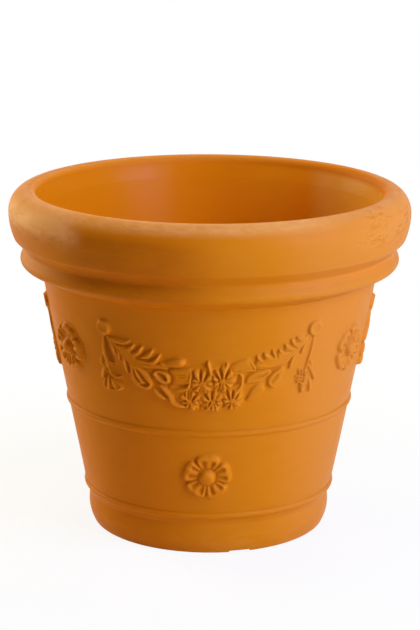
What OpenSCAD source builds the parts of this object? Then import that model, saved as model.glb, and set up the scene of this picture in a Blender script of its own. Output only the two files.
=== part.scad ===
// Terracotta festoon pot: a tapered body with two string courses, a collar under a rolled rim,
// three garlands and six rosettes. The front garland faces -Y, the origin is the middle of the foot.

/* [Foot] */
// Radius of the foot where it meets the ground
foot_r = 146.5; // [140:0.5:152]
// Rounding of the lower edge of the foot
foot_edge = 4; // [2:0.5:6]
// Height of the foot up to the crease under the wall
foot_h = 25; // [22:1:32]
// How far the crease lies outside the foot's edge
crease_out = 9; // [6:0.5:12]
// Height of the recess under the floor, which is the height of the foot ring
recess_h = 8; // [6:1:10]
// Width of the foot ring
foot_ring_w = 26.5; // [16:0.5:40]
// Width of each drain notch in the foot ring
notch_w = 26; // [16:1:36]
// Height of each drain notch
notch_h = 2.8; // [2:0.1:5]
// Number of drain notches round the foot ring
notch_count = 3; // [3:1:6]
// Azimuth of the first drain notch, to the right of the front
notch_az = 15.4; // [0:0.1:60]
// Radius of the drain hole in the floor
drain_r = 12; // [8:0.5:20]

/* [Wall] */
// How far the neck over the foot lies outside the foot's edge
neck_out = 6; // [3:0.5:8]
// Height of the neck above the crease
neck_h = 17; // [12:1:22]
// Rise from the neck to the crest of the lower string course
low_rise = 8; // [6:0.5:10]
// How far the wall at the lower string course lies outside the foot's edge
wall_out = 10; // [7:0.5:16]
// Thickness of the wall, measured level
wall_t = 14; // [10:0.5:18]
// Height from the lower to the middle string course
lower_field_h = 113; // [100:1:130]
// Height from the middle string course to the collar
upper_field_h = 160.5; // [150:0.5:180]
// How far the lower string course stands out
low_bead = 2.3; // [1.5:0.1:3.5]
// How far the middle string course stands out
mid_bead = 2.5; // [1.5:0.1:3.5]
// Half the height of a string course
bead_half = 5.5; // [4:0.5:7]

/* [Collar] */
// How far the nose of the collar reaches past the wall
nose_out = 29; // [26:0.5:31]
// Height of the nose above the bottom of the collar
nose_up = 14.2; // [12:0.1:16]
// Rounding of the nose
nose_round = 7.8; // [5:0.1:8.5]
// How far the groove above the collar lies inside the nose
groove_in = 7.8; // [6:0.1:10]
// Height of the groove above the nose
groove_up = 18.7; // [17:0.1:22]
// Rounding of the groove
groove_round = 5; // [3:0.5:6]

/* [Rim] */
// Radius of the rim at its widest
rim_r = 250; // [240:1:262]
// How far the rim stands out past the wall under the collar
rim_over = 40.5; // [36:0.5:46]
// How far the lower lip of the rim lies inside its widest point
lip_in = 6.2; // [4:0.1:8]
// Height of the lip above the groove
lip_up = 13; // [11:0.5:15]
// Rounding of the lip
lip_round = 4; // [2:0.5:4.5]
// Height from the lip to the widest point
widest_up = 31.4; // [26:0.2:36]
// Height from the widest point to the top of the rim
shoulder_up = 27.2; // [24:0.2:30]
// How far the rounded shoulder reaches inwards
shoulder_in = 24.5; // [18:0.5:25]
// Width of the rolled rim, from its widest point to the opening
rim_w = 34.5; // [34:0.5:38]
// Rounding of the inner edge
inner_round = 8.8; // [5:0.1:9]
// How far the top of the wall reaches up inside the rim, above its lip
wall_up = 30.6; // [20:0.2:36]

/* [Garland] */
// Distance along the wall between the two knobs of a garland
garland_span = 256; // [244:1:268]
// Drop from the knobs to the bottom of the flowers
garland_drop = 96; // [88:1:104]
// Distance of the knobs below the collar
knob_below = 32.5; // [28:0.5:38]
// Radius of a knob
knob_r = 10; // [8:0.5:12]
// How far a knob stands out
knob_t = 5; // [3:0.5:7]
// How far the relief stands out, as a factor on the drawn heights
relief = 1; // [0.8:0.05:1.3]
// Thickness of the slip that holds the reliefs on the wall
slip = 0.2; // [0.15:0.05:0.4]

/* [Rosettes] */
// Radius of a rosette
rosette_r = 29; // [25:0.5:32]
// How far the petals stand out
petal_t = 6; // [4:0.5:8]
// Radius of the boss in the middle
boss_r = 10; // [8:0.5:12]
// How far the boss stands out
boss_t = 8.5; // [6:0.5:10]
// Height of the upper rosettes above the middle string course
upper_rosette_up = 86.5; // [76:0.5:96]
// Height of the lower rosettes above the lower string course
lower_rosette_up = 57.5; // [48:0.5:66]

/* [Hidden] */
$fn = 180;

terracotta = "#c8743a";
terracotta_light = "#d98a4c";
terracotta_dark = "#b3602c";

// Radii of the parts of the body
crease_r = foot_r + crease_out;
foot_ring_in = foot_r - foot_ring_w;
neck_r = foot_r + neck_out;
wall_low_r = foot_r + wall_out;
wall_high_r = rim_r - rim_over;
lip_r = rim_r - lip_in;

// Heights of the parts of the body
neck_z = foot_h + neck_h;
low_z = neck_z + low_rise;
mid_z = low_z + lower_field_h;
collar_z = mid_z + upper_field_h;
nose_z = collar_z + nose_up;
groove_z = nose_z + groove_up;
lip_z = groove_z + lip_up;
widest_z = lip_z + widest_up;
top_z = widest_z + shoulder_up;
wall_top_z = lip_z + wall_up;

// Slope of the outside of the wall, and the lines of its two sides
wall_slope = (wall_high_r - wall_low_r) / (collar_z - low_z);
wall_lean = atan(wall_slope);
function wall_r(z) = wall_low_r + wall_slope * (z - low_z);
function bore_r(z) = wall_r(z) - wall_t;

// Radius of the foot at a height below the crease
function foot_side_r(z) = foot_r + (crease_r - foot_r) * z / foot_h;

// Points on the arc that rounds corner b between a and c, from the side of a to the side of c
function unit(v) = v / norm(v);
function round_corner(a, b, c, r, steps) =
    let (
        u = unit(a - b),
        w = unit(c - b),
        half = acos(u * w) / 2,
        middle = b + unit(u + w) * r / sin(half),
        from = b + u * r / tan(half) - middle,
        turn = (cross(u, w) > 0 ? -1 : 1) * (180 - 2 * half)
    )
    [for (k = [0 : steps])
        let (t = turn * k / steps)
        middle + [from.x * cos(t) - from.y * sin(t), from.x * sin(t) + from.y * cos(t)]
    ];

// Corners of the collar and the lip
collar_foot = [wall_high_r, collar_z];
nose = [wall_high_r + nose_out, nose_z];
groove = [nose.x - groove_in, groove_z];
lip = [lip_r, lip_z];

// The flank of the rim bulges out on one arc from the lip to the widest point
flank_h = widest_z - lip_z;
flank_w = rim_r - lip_r;
flank_r = (flank_h * flank_h + flank_w * flank_w) / (2 * flank_w);
function flank_at(z) = [rim_r - flank_r + sqrt(flank_r * flank_r - pow(z - widest_z, 2)), z];

groove_steps = 6;
groove_arc = round_corner(nose, groove, lip, groove_round, groove_steps);
seam = groove_arc[groove_steps / 2];

collar_outline = concat(
    [collar_foot],
    round_corner(collar_foot, nose, groove, nose_round, 8),
    [for (k = [0 : groove_steps / 2]) groove_arc[k]]
);

lip_arc = round_corner(groove, lip, flank_at(lip_z + lip_round * 2), lip_round, 5);
flank_start = lip_arc[5].y;
rim_outline = concat(
    [for (k = [groove_steps / 2 : groove_steps]) groove_arc[k]],
    lip_arc,
    [for (k = [1 : 6]) flank_at(flank_start + (widest_z - flank_start) * k / 6)],
    [for (k = [1 : 9])
        [rim_r - shoulder_in + shoulder_in * cos(10 * k), widest_z + shoulder_up * sin(10 * k)]],
    [for (k = [0 : 6])
        [rim_r - rim_w + inner_round * (1 + cos(90 + 15 * k)),
         top_z - inner_round + inner_round * sin(90 + 15 * k)]]
);

// Outline of a string course on the sloping wall, from its lower to its upper edge
bead_steps = 6;
function bead_outline(z, out) =
    [for (k = [-bead_steps : bead_steps])
        let (t = k / bead_steps)
        [wall_r(z + bead_half * t) + out * (1 - t * t), z + bead_half * t]
    ];

// The lower half of the lower string course runs down to the neck
low_bead_foot = [for (k = [-bead_steps : 0])
    let (t = k / bead_steps)
    [neck_r + (wall_low_r - neck_r) * (1 + t) + low_bead * (1 - t * t), low_z + low_rise * t]
];

// How far a cut runs past the face that it starts from
cut_past = 2;

module ring(outline) {
    rotate_extrude() polygon(outline);
}

module floor_slab() {
    color(terracotta_dark) difference() {
        ring([[0, recess_h], [foot_side_r(recess_h), recess_h], [crease_r, foot_h], [0, foot_h]]);
        translate([0, 0, recess_h - cut_past])
            cylinder(r = drain_r, h = foot_h - recess_h + 2 * cut_past, $fn = 72);
    }
}

module foot_ring() {
    corner = round_corner([foot_ring_in, 0], [foot_r, 0], [foot_side_r(recess_h), recess_h], foot_edge, 5);
    color(terracotta_dark) difference() {
        ring(concat(
            [[foot_ring_in, recess_h], [foot_ring_in, 0]],
            corner,
            [[foot_side_r(recess_h), recess_h]]
        ));
        for (k = [0 : notch_count - 1])
            rotate(notch_az + 360 * k / notch_count)
                translate([-notch_w / 2, -foot_r - cut_past, -cut_past])
                    cube([notch_w, foot_ring_w + 4 * cut_past, notch_h + cut_past]);
    }
}

module lower_wall() {
    color(terracotta) ring([
        [bore_r(foot_h), foot_h], [crease_r, foot_h], [neck_r, neck_z], [wall_low_r, low_z],
        [wall_r(mid_z), mid_z], [bore_r(mid_z), mid_z]
    ]);
}

module upper_wall() {
    color(terracotta) ring([
        [bore_r(mid_z), mid_z], [wall_r(mid_z), mid_z],
        [wall_r(wall_top_z), wall_top_z], [bore_r(wall_top_z), wall_top_z]
    ]);
}

module lower_string_course() {
    upper_half = bead_outline(low_z, low_bead);
    color(terracotta_light) ring(concat(
        low_bead_foot,
        [for (k = [bead_steps + 1 : 2 * bead_steps]) upper_half[k]],
        [[wall_low_r, low_z]]
    ));
}

module middle_string_course() {
    color(terracotta_light) ring(concat(bead_outline(mid_z, mid_bead), [[wall_r(mid_z), mid_z]]));
}

module collar_moulding() {
    color(terracotta_light) ring(concat(collar_outline, [[wall_r(seam.y), seam.y]]));
}

module rim_roll() {
    color(terracotta) ring(concat(
        [[wall_r(seam.y), seam.y]],
        rim_outline,
        [[bore_r(wall_top_z), wall_top_z], [wall_r(wall_top_z), wall_top_z]]
    ));
}

// The point that lies h off the wall, x along it from the front and at height z
function on_wall(x, z, h, ref_z) =
    let (
        a = x / wall_r(ref_z) * 180 / PI,
        r = wall_r(z) + h * cos(wall_lean)
    )
    [r * sin(a), -r * cos(a), z - h * sin(wall_lean)];

// A leaf laid on the wall. It runs from point a to point b, curves to its left by bend, and is
// widest at the share belly of its length. A dished leaf is lower along its middle.
// Each cross-section is cut into convex parts, and each part runs on to the next cross-section.
leaf_rings = 5;
plain_section = [[[1, 0], [0.5, 0.85], [-0.5, 0.85], [-1, 0]]];
wide_section = [[[1, 0], [0.5, 0.85], [0, 0.85], [0, 0]], [[0, 0], [0, 0.85], [-0.5, 0.85], [-1, 0]]];
widest_flat_back = 14;
function dished_section(dished) = [
    [[1, 0], [0.7, 1], [0, 1 - dished], [0, 0]],
    [[0, 0], [0, 1 - dished], [-0.7, 1], [-1, 0]]
];
function section(width, dished) =
    dished > 0 ? dished_section(dished) : width > widest_flat_back ? wide_section : plain_section;

// The cut ends of a leaf lie this share of its length inside its two points
leaf_end = 0.02;
// Width and height of a leaf's ends, as a share of those at its belly
end_width = 0.2;
end_height = 0.45;
// Least thickness of a leaf
leaf_least = 0.2;

function leaf_point(a, b, width, height, bend, belly, t, lift, side, up) =
    let (
        along = b - a,
        left = [-along.y, along.x] / norm(along),
        swell = sin(180 * pow(t, ln(0.5) / ln(belly))),
        half_w = width / 2 * (end_width + (1 - end_width) * swell),
        top = slip + relief * height * (end_height + (1 - end_height) * swell) * up,
        back = slip + lift + root_lift * (1 - t),
        p = place(a + along * t + left * (bend * 4 * t * (1 - t) + half_w * side))
    )
    on_wall(p.x, p.y, up > 0 ? max(top, back + leaf_least) : back, garland_mid_z);

module leaf(a, b, width, height, bend, belly, dished, lift) {
    for (k = [0 : leaf_rings - 1], part = section(width, dished)) {
        n = len(part);
        ends = [for (j = [k, k + 1]) leaf_end + (1 - 2 * leaf_end) * j / leaf_rings];
        points = [for (t = ends, s = part)
            leaf_point(a, b, width, height, bend, belly, t, lift, s[0], s[1])];
        sides = [for (j = [0 : n - 1]) [j, j + n, (j + 1) % n + n, (j + 1) % n]];
        hull() polyhedron(points, concat(
            [[for (j = [0 : n - 1]) j], [for (j = [0 : n - 1]) 2 * n - 1 - j]],
            sides
        ));
    }
}

// Each leaf is laid on a hair higher than the one before it, and its root rides up on its neighbour
lift_step = 0.02;
root_lift = 0.7;

// A drawn row is [from x, from y, to x, to y, width, height, bend, belly, dished]. Its places are
// measured from the middle of the line between the knobs, on a garland of the drawn span and drop,
// and the whole drawing stretches with the garland.
drawn_span = 256;
drawn_drop = 96;
garland_z = collar_z - knob_below;
garland_mid_z = garland_z - garland_drop / 2;
stretch = [garland_span / drawn_span, garland_drop / drawn_drop];
function place(p) = [p.x * stretch.x, garland_z + p.y * stretch.y];

module leaves(rows) {
    for (i = [0 : len(rows) - 1])
        let (q = rows[i])
            leaf([q[0], q[1]], [q[2], q[3]], q[4], q[5], q[6], q[7], q[8], i * lift_step);
}

left_branch_rows = [
    [-124, -12, -100, -37, 9, 2.6, -2, 0.5, 0],
    [-104, -33, -62, -46, 15, 2.8, 0, 0.5, 0],
    [-70, -45, -24, -51, 18, 3, 0, 0.5, 0],
    [-120, -15, -95, -12.5, 7.5, 4, -2.5, 0.6, 0],
    [-98, -33, -88.5, -17.5, 6, 4, -1.5, 0.65, 0],
    [-93, -33, -77.5, -20.5, 6.5, 4.5, -2.5, 0.65, 0],
    [-82, -34, -62.5, -23.5, 7, 4.5, -3, 0.65, 0],
    [-71, -39, -55, -28, 6.5, 4.8, -2, 0.6, 0],
    [-113, -25, -109.5, -42, 5, 3, -1, 0.5, 0],
    [-108, -27, -100.5, -56, 6.5, 3.2, -3, 0.55, 0],
    [-99, -38, -68.5, -73, 18, 5, -2, 0.6, 0.55],
    [-71, -48, -45, -59, 15, 5.5, 1, 0.6, 0.5],
    [-62, -44, -27, -34, 12, 5.8, -1, 0.8, 0],
    [-50, -47, -22, -51, 10, 5, 1, 0.5, 0],
    [-53, -70, -24, -65, 9, 5, -3, 0.6, 0],
    [-62, -56, -40, -89, 8, 5, 1.5, 0.6, 0],
    [-70, -68, -52, -85, 7, 3.5, -1, 0.5, 0],
    [-46, -82, -27, -92, 7, 3.8, -1.5, 0.5, 0]
];
right_branch_rows = [
    [124, -12, 100, -37, 9, 2.6, 2, 0.5, 0],
    [104, -33, 62, -46, 15, 2.8, 0, 0.5, 0],
    [70, -45, 30, -50, 19, 3, 2, 0.5, 0],
    [121.5, -14, 104, -9.5, 7, 4, 2, 0.6, 0],
    [106, -30, 100, -12, 5.5, 4, 1.5, 0.6, 0],
    [101, -33, 92, -17, 6, 4.2, 2, 0.65, 0],
    [93, -33, 82, -20, 7, 4.5, 2.5, 0.65, 0],
    [81, -36, 66, -23, 7.5, 4.6, 3, 0.65, 0],
    [69, -41, 55, -27, 7, 4.8, 2, 0.6, 0],
    [115, -22, 110, -38, 5, 3, 1, 0.5, 0],
    [109, -27, 101, -50, 6.5, 3.2, 3, 0.55, 0],
    [96, -38, 73, -69, 18, 5, 2, 0.6, 0.55],
    [73, -47, 45, -59, 14, 5, -1, 0.6, 0],
    [59, -41, 24, -36, 13, 5.8, 3, 0.6, 0],
    [50, -46, 33, -53, 9, 4.6, -1, 0.5, 0],
    [74, -67, 47, -84, 15, 5, 0, 0.55, 0.4],
    [54, -60, 39, -83, 8, 4.6, -1, 0.55, 0]
];
left_drop_rows = [
    [-129, -9, -132, -66, 5, 3.2, -2, 0.5, 0],
    [-132.2, -34, -140, -52, 6.5, 3.6, -1.5, 0.55, 0],
    [-132.2, -37, -116, -47, 6.5, 3.4, 1.5, 0.55, 0],
    [-132.8, -47, -139, -68, 7.5, 4, -1.5, 0.55, 0],
    [-132.8, -49, -114, -66, 7.5, 3.8, 1.5, 0.55, 0],
    [-132.4, -60, -136, -83, 7, 4, -1, 0.55, 0],
    [-132.2, -61, -125, -82, 7, 4.2, 0, 0.55, 0],
    [-132.3, -60, -111, -79, 7.5, 4, 1.5, 0.6, 0]
];
right_drop_rows = [
    [129, -9, 125, -64, 5, 3.2, 0, 0.5, 0],
    [127, -36, 136, -50, 6.5, 3.6, 1.5, 0.55, 0],
    [127, -37, 112, -49, 6.5, 3.4, -1.5, 0.55, 0],
    [126.2, -48, 138, -66, 7.5, 4, 1.5, 0.55, 0],
    [126.2, -49, 109, -64, 7.5, 3.8, -1.5, 0.55, 0],
    [125.4, -59, 134, -81, 7, 4, 1, 0.55, 0],
    [125.3, -60, 124, -83, 7, 4.2, 0, 0.55, 0],
    [125.4, -59, 113, -80, 7.5, 4, -1.5, 0.6, 0]
];

// A blossom is one relief of rings round its middle. Each ring is a row of [radius, height]
// for equal steps of angle; the last ring gets a wall down to its back.
module blossom(middle, wider, turn, middle_h, rings, ref_z) {
    n = len(rings[0]);
    count = len(rings);
    function at(k, radius, h) =
        let (angle = turn + 360 * k / n)
        on_wall(middle.x + wider.x * radius * cos(angle), middle.y + wider.y * radius * sin(angle),
            slip + relief * h, ref_z);
    points = concat(
        [at(0, 0, middle_h)],
        [for (ring_row = rings, k = [0 : n - 1]) at(k, ring_row[k][0], ring_row[k][1])],
        [for (k = [0 : n - 1]) at(k, rings[count - 1][k][0], 0)],
        [at(0, 0, 0)]
    );
    top_fan = [for (k = [0 : n - 1]) [0, 1 + (k + 1) % n, 1 + k]];
    bands = [for (i = [0 : count - 1], k = [0 : n - 1])
        let (
            p = 1 + i * n + k,
            p_next = 1 + i * n + (k + 1) % n
        )
        each [[p, p_next, p_next + n], [p, p_next + n, p + n]]
    ];
    back = 1 + count * n;
    back_fan = [for (k = [0 : n - 1]) [back + n, back + k, back + (k + 1) % n]];
    polyhedron(points, concat(top_fan, bands, back_fan));
}

// Each flower of the cluster is [x, y, radius, number of petals, turn]. A petal has two corners
// at its tip, and the gap beside it reaches in to flower_gap of the radius.
flower_rows = [
    [-11, -58, 17, 8, 8],
    [14, -56, 17, 8, 20],
    [-21.5, -80, 13.5, 8, 10],
    [3, -82, 14, 8, 0],
    [27.5, -81, 14, 8, 15]
];
flower_h = 5.6;
flower_boss_h = 6.8;
flower_gap = 0.62;

module flower(row) {
    petals = row[3];
    steps = [for (k = [0 : petals - 1]) each [0, 1, 1]];
    rings = [
        [for (tip = steps) [row[2] * 0.28, flower_boss_h * 0.92]],
        [for (tip = steps) [row[2] * 0.42, flower_h * (tip ? 0.7 : 0.5)]],
        [for (tip = steps) [row[2] * (tip ? 1 : flower_gap), flower_h * (tip ? 0.75 : 0.4)]]
    ];
    blossom(place([row[0], row[1]]), stretch, row[4], flower_boss_h, rings, garland_mid_z);
}

// A knob is a small turned button with a dished face, set square on the wall
module knob(x) {
    turn = place([x, 0]).x / wall_r(garland_mid_z) * 180 / PI;
    rotate(turn) translate([0, -wall_r(garland_z), garland_z]) rotate([90 + wall_lean, 0, 0])
        translate([0, 0, slip]) rotate_extrude($fn = 48) polygon([
            [0, 0], [knob_r * 0.94, 0], [knob_r, knob_t * 0.3], [knob_r * 0.94, knob_t * 0.7],
            [knob_r * 0.78, knob_t * 0.97], [knob_r * 0.62, knob_t],
            [knob_r * 0.4, knob_t * 0.8], [0, knob_t * 0.7]
        ]);
}

module garland_piece(kind) {
    color(terracotta_light) {
        if (kind == "left_knob") knob(-drawn_span / 2);
        if (kind == "right_knob") knob(drawn_span / 2);
        if (kind == "left_drop") leaves(left_drop_rows);
        if (kind == "right_drop") leaves(right_drop_rows);
        if (kind == "left_branch") leaves(left_branch_rows);
        if (kind == "right_branch") leaves(right_branch_rows);
        if (kind == "flower_cluster") for (row = flower_rows) flower(row);
    }
}

// A rosette has five petals round a domed boss, each with a raised rim, a middle rib and a hollow
// on both sides of it; turn is the direction of its first petal. Every petal takes six steps:
// the gap, a shoulder, a hollow, the rib, a hollow and a shoulder.
petal_count = 5;
petal_edge = [0.78, 0.95, 1, 0.985, 1, 0.95];
petal_root_h = [0.45, 0.55, 0.5, 0.55, 0.5, 0.55];
petal_hollow_h = [0.3, 0.85, 0.45, 0.75, 0.45, 0.85];
petal_rim_h = [0.3, 1, 1, 0.95, 1, 1];
petal_side_h = [0.25, 0.55, 0.55, 0.5, 0.55, 0.55];

function petal_ring(share, heights) =
    [for (k = [0 : petal_count - 1], j = [0 : 5])
        [rosette_r * petal_edge[j] * share, petal_t * heights[j]]];

module rosette(z, turn) {
    half_gap = 180 / petal_count;
    rings = [
        petal_ring(0.34, petal_root_h),
        petal_ring(0.6, petal_hollow_h),
        petal_ring(0.88, petal_rim_h),
        petal_ring(1, petal_side_h)
    ];
    color(terracotta_light) {
        blossom([0, z], [1, 1], turn - half_gap, petal_t * 0.5, rings, z);
        translate([0, -wall_r(z), z]) rotate([90 + wall_lean, 0, 0])
            translate([0, 0, slip]) rotate_extrude($fn = 32) polygon([
                [0, 0], [boss_r, 0], [boss_r, boss_t * 0.45], [boss_r * 0.87, boss_t * 0.72],
                [boss_r * 0.6, boss_t * 0.92], [0, boss_t]
            ]);
    }
}

third = 120;
upper_z = mid_z + upper_rosette_up;
lower_z = low_z + lower_rosette_up;

floor_slab();
foot_ring();
lower_wall();
upper_wall();
lower_string_course();
middle_string_course();
collar_moulding();
rim_roll();
garland_piece("left_knob");  // front_left_knob
garland_piece("right_knob");  // front_right_knob
garland_piece("left_drop");  // front_left_drop
garland_piece("right_drop");  // front_right_drop
garland_piece("left_branch");  // front_left_branch
garland_piece("right_branch");  // front_right_branch
garland_piece("flower_cluster");  // front_flower_cluster
rotate(third) garland_piece("left_knob");  // right_left_knob
rotate(third) garland_piece("right_knob");  // right_right_knob
rotate(third) garland_piece("left_drop");  // right_left_drop
rotate(third) garland_piece("right_drop");  // right_right_drop
rotate(third) garland_piece("left_branch");  // right_left_branch
rotate(third) garland_piece("right_branch");  // right_right_branch
rotate(third) garland_piece("flower_cluster");  // right_flower_cluster
rotate(-third) garland_piece("left_knob");  // left_left_knob
rotate(-third) garland_piece("right_knob");  // left_right_knob
rotate(-third) garland_piece("left_drop");  // left_left_drop
rotate(-third) garland_piece("right_drop");  // left_right_drop
rotate(-third) garland_piece("left_branch");  // left_left_branch
rotate(-third) garland_piece("right_branch");  // left_right_branch
rotate(-third) garland_piece("flower_cluster");  // left_flower_cluster
rotate(-third / 2) rosette(upper_z, 0);  // front_left_upper_rosette
rotate(third / 2) rosette(upper_z, 0);  // front_right_upper_rosette
rotate(180) rosette(upper_z, 0);  // back_upper_rosette
rosette(lower_z, 90);  // front_lower_rosette
rotate(third) rosette(lower_z, 90);  // right_lower_rosette
rotate(-third) rosette(lower_z, 90);  // left_lower_rosette
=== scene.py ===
import math

import bpy
import numpy as np
from mathutils import Euler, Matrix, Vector


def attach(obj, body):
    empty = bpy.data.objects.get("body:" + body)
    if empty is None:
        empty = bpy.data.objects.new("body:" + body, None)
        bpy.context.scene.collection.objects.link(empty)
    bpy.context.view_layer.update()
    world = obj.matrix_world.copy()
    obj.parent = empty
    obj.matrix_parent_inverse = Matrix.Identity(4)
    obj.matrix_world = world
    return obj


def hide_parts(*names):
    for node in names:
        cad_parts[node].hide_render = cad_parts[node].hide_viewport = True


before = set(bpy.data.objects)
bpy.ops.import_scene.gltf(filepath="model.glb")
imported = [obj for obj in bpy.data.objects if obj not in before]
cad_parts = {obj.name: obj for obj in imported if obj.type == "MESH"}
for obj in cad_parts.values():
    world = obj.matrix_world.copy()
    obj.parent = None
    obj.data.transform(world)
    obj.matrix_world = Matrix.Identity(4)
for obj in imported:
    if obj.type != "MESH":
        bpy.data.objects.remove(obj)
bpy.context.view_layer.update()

MM = 0.001

# Body sizes in millimetres. They are those of the construction model, but for the crease over the foot, the
# neck and the string courses, which follow the photo's silhouette more closely here.
FOOT_R, FOOT_EDGE, FOOT_H, CREASE_R, RECESS_H, FOOT_RING_IN = 146.5, 4.0, 25.0, 153.0, 8.0, 120.0
NOTCH_W, NOTCH_H, NOTCH_COUNT, NOTCH_AZ, NOTCH_EDGE = 26.0, 2.8, 3, 15.4, 1.2
DRAIN_R, DRAIN_LOW_EDGE, DRAIN_TOP_EDGE, RING_EDGE, NECK_ROUND = 12.0, 1.5, 2.5, 1.5, 3.0
NECK_R, NECK_H, LOW_RISE = 152.2, 14.5, 10.5
WALL_LOW_R, WALL_HIGH_R, WALL_T = 156.5, 209.5, 14.0
LOWER_FIELD_H, UPPER_FIELD_H = 113.0, 160.5
LOW_BEAD, MID_BEAD, BEAD_HALF = 2.3, 2.5, 4.2
# How far the beads lie above their walls' ends, and the groove scored above each bead
LOW_BEAD_UP, MID_BEAD_UP, SCORE_DEPTH, SCORE_HALF = 0.8, -1.0, 0.5, 1.5
NOSE_OUT, NOSE_UP, NOSE_ROUND = 29.0, 14.2, 7.8
GROOVE_IN, GROOVE_UP, GROOVE_ROUND = 7.8, 18.7, 5.0
RIM_R, LIP_R, LIP_UP, LIP_ROUND, WIDEST_UP = 250.0, 243.8, 13.0, 4.0, 31.4
SHOULDER_UP, SHOULDER_IN, RIM_W, INNER_ROUND, WALL_UP = 27.2, 24.5, 34.5, 8.8, 30.6

NECK_Z = FOOT_H + NECK_H
LOW_Z = NECK_Z + LOW_RISE
MID_Z = LOW_Z + LOWER_FIELD_H
COLLAR_Z = MID_Z + UPPER_FIELD_H
NOSE_Z = COLLAR_Z + NOSE_UP
GROOVE_Z = NOSE_Z + GROOVE_UP
LIP_Z = GROOVE_Z + LIP_UP
WIDEST_Z = LIP_Z + WIDEST_UP
TOP_Z = WIDEST_Z + SHOULDER_UP
WALL_TOP_Z = LIP_Z + WALL_UP
WALL_SLOPE = (WALL_HIGH_R - WALL_LOW_R) / (COLLAR_Z - LOW_Z)
WALL_LEAN = math.atan(WALL_SLOPE)

# Ornament sizes in millimetres
GARLAND_Z = COLLAR_Z - 32.5
GARLAND_DROP = 96.0
GARLAND_REF_Z = GARLAND_Z - GARLAND_DROP / 2
KNOB_X, KNOB_R, KNOB_T = 128.0, 10.0, 5.0
ROSETTE_R, PETAL_T, BOSS_R, BOSS_T, PETALS = 29.0, 6.0, 10.0, 8.5, 5
UPPER_ROSETTE_Z = MID_Z + 86.5
LOWER_ROSETTE_Z = LOW_Z + 57.5
# How far the lower rosettes were set off their true places, along the wall and up, and turned
LOWER_SET, LOWER_TURN = (-1.8, -1.8), 87

# How finely things are drawn: steps round the pot and of arcs, millimetres along outlines and sprigs, and
# degrees over the rim's shoulder and mouth
TURNS, FOOT_STEPS, BEAD_STEPS, COLLAR_STEPS, LIP_STEPS, FLANK_STEPS = 720, 8, 32, 12, 10, 8
OUTLINE_STEP, GRID, SHOULDER_STEP, MOUTH_STEP, SHARP_ANGLE = 4.0, 0.6, 6, 9, 40
# Points along the whole of an open curve, and along each stretch of a closed one
OPEN_STEPS, CLOSED_STEPS = 28, 6

# Waves of the hand-made waver: turns round the pot, change with height, phase and share
WAVES = [(2, 0.0, 0.7, 1.0), (3, 0.021, 2.1, 0.6), (5, -0.034, 4.0, 0.5), (9, 0.05, 1.0, 0.35)]
WAVER, WAVER_FADE_R = 0.11, 60

# A sprig is softened, and slip is smeared along its edges: grid steps, share of the mean height, spread and
# fade. Clay thinner than THINNEST is left out.
SOFTENING, SLIP, SLIP_SPREAD, SLIP_FADE, THINNEST = 0.9, 0.30, 4.5, 1.2, 0.07
# Where a sprig's edge and back lie, in millimetres out from the wall
EDGE_OFF, BACK_OFF = -0.2, -0.8
# Grid steps across which a hollow counts as one for the painted shade and a crest is told by for the
# painted highlight, how much a crest lessens a hollow, and what height is a full one
HOLLOW_REACH, CREST_SPREAD, CREST_LESS, FULL_DEPTH = 5, 4.0, 0.25, 3
# Web of thin clay between the left drop and its branch, where a cast shadow is painted, and how deep the
# painted shadow makes it look
LEFT_WEB = [-130.5-11j, -126-14j, -123.5-23j, -121-32j, -118-40j, -117.5-48j, -121-51j, -126.5-46j,
            -130.5-37j, -131.5-24j]
WEB_SHADOW, WEB_EDGE = 7.0, 5


def wall_r(z):
    """Radius of the wall's outer face at a height."""
    return WALL_LOW_R + WALL_SLOPE * (z - LOW_Z)


def inner(z):
    """Radius of the wall's inner face at a height."""
    return wall_r(z) - WALL_T


def foot_side_r(z):
    """Radius of the foot's convex side at a height."""
    return FOOT_R + (CREASE_R - FOOT_R) * (1 - (1 - z / FOOT_H) ** 2)


def rounded(points, steps=8):
    """Outline through (r, z, rounding) corners, each rounded on its own arc."""
    corners = [complex(r, z) for r, z, _ in points]
    out = []
    for i, (b, (*_, radius)) in enumerate(zip(corners, points)):
        if radius <= 0:
            out.append(b)
            continue
        a, c = corners[i - 1], corners[(i + 1) % len(corners)]
        u, w = (a - b) / abs(a - b), (c - b) / abs(c - b)
        half = math.acos((u * w.conjugate()).real) / 2
        middle = b + (u + w) / abs(u + w) * radius / math.sin(half)
        start = b + u * radius / math.tan(half) - middle
        turn = math.copysign(math.pi - 2 * half, (u * w.conjugate()).imag)
        out += [middle + start * np.exp(1j * turn * k / steps) for k in range(steps + 1)]
    return [np.array([p.real, p.imag]) for p in out]


def densified(outline):
    """The closed outline with no stretch longer than OUTLINE_STEP."""
    out = []
    for i, p in enumerate(outline):
        q = outline[(i + 1) % len(outline)]
        n = max(1, int(math.ceil(np.linalg.norm(q - p) / OUTLINE_STEP)))
        out += [p + (q - p) * k / n for k in range(n)]
    return np.array(out)


def hand_waver(az, z):
    """How far the clay lies out from its true form, always inwards, by azimuth and height."""
    wave = sum(share * np.sin(turns * az + rise * z + phase) for turns, rise, phase, share in WAVES)
    return WAVER * (wave - sum(share for *_, share in WAVES))


def notch_lift(r, az):
    """How far the underside of the foot rises in the drain notches."""
    lift = np.zeros_like(az)
    for k in range(NOTCH_COUNT):
        d = az - math.radians(NOTCH_AZ + 360 * k / NOTCH_COUNT)
        across = np.abs(r * np.sin(d))
        near = np.cos(d) > 0
        t = np.clip((NOTCH_W / 2 + NOTCH_EDGE / 2 - across) / NOTCH_EDGE, 0, 1)
        lift = np.maximum(lift, near * t * t * (3 - 2 * t) * NOTCH_H)
    return lift


def finish_piece(piece, replaced):
    """Puts a piece in the scene, with its body and the node that it replaces."""
    bpy.context.scene.collection.objects.link(piece)
    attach(piece, "root")
    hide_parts(replaced)


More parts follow.
